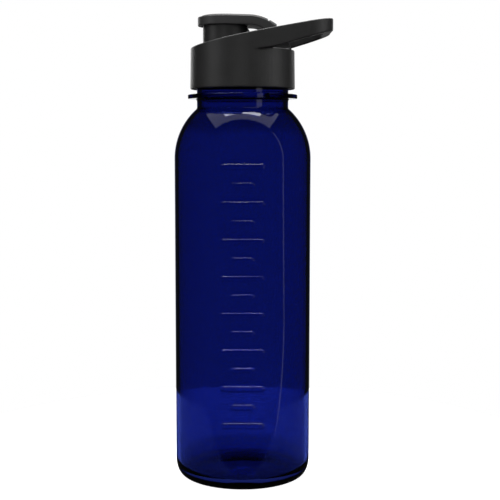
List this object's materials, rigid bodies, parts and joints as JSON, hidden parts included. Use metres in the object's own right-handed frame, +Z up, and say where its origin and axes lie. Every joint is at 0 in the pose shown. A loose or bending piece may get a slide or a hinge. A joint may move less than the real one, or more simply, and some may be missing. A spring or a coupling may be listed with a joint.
{
  "type": "sports bottle",
  "caption": "Clear rigid sports bottle with a screw cap, a flip cover over its drinking spout and a carry loop.",
  "frame": {"origin": "centre of the ring the bottle stands on, on the plane it rests on", "axes": "+Z up along the bottle's axis; +X towards the carry loop; -Y is the side with the flat panel"},
  "size_m": [0.0836, 0.0724, 0.2472],
  "materials": {
    "clear_blue": "gloss",
    "black_plastic": "satin",
    "silicone": "matte",
    "cover_plastic": "satin",
    "seal_silicone": "matte",
    "pin_steel": "satin"
  },
  "bodies": {
    "bottle": {"bottle_body": "clear_blue"},
    "seal_ring": {"cap_gasket": "silicone"},
    "cap": {"screw_cap": "black_plastic", "hinge_pin": "pin_steel"},
    "cover": {"spout_cover": "cover_plastic", "spout_seal": "seal_silicone"}
  },
  "joints": [
    {"name": "cap_lift", "type": "slide", "parent": "bottle", "child": "seal_ring", "axis": [0, 0, 1], "range_m": [0, 0.018]},
    {"name": "cap_turn", "type": "hinge", "parent": "seal_ring", "child": "cap", "pos_m": [0, 0, 0.218], "axis": [0, 0, 1], "range_deg": [0, 1081]},
    {"name": "cover_flip", "type": "hinge", "parent": "cap", "child": "cover", "pos_m": [0.0195, 0, 0.2363], "axis": [0, 1, 0], "range_deg": [0, 130]}
  ],
  "couplings": [
    {"joint": "cap_turn", "follows": "cap_lift", "rad_per_m": 1047.2}
  ]
}
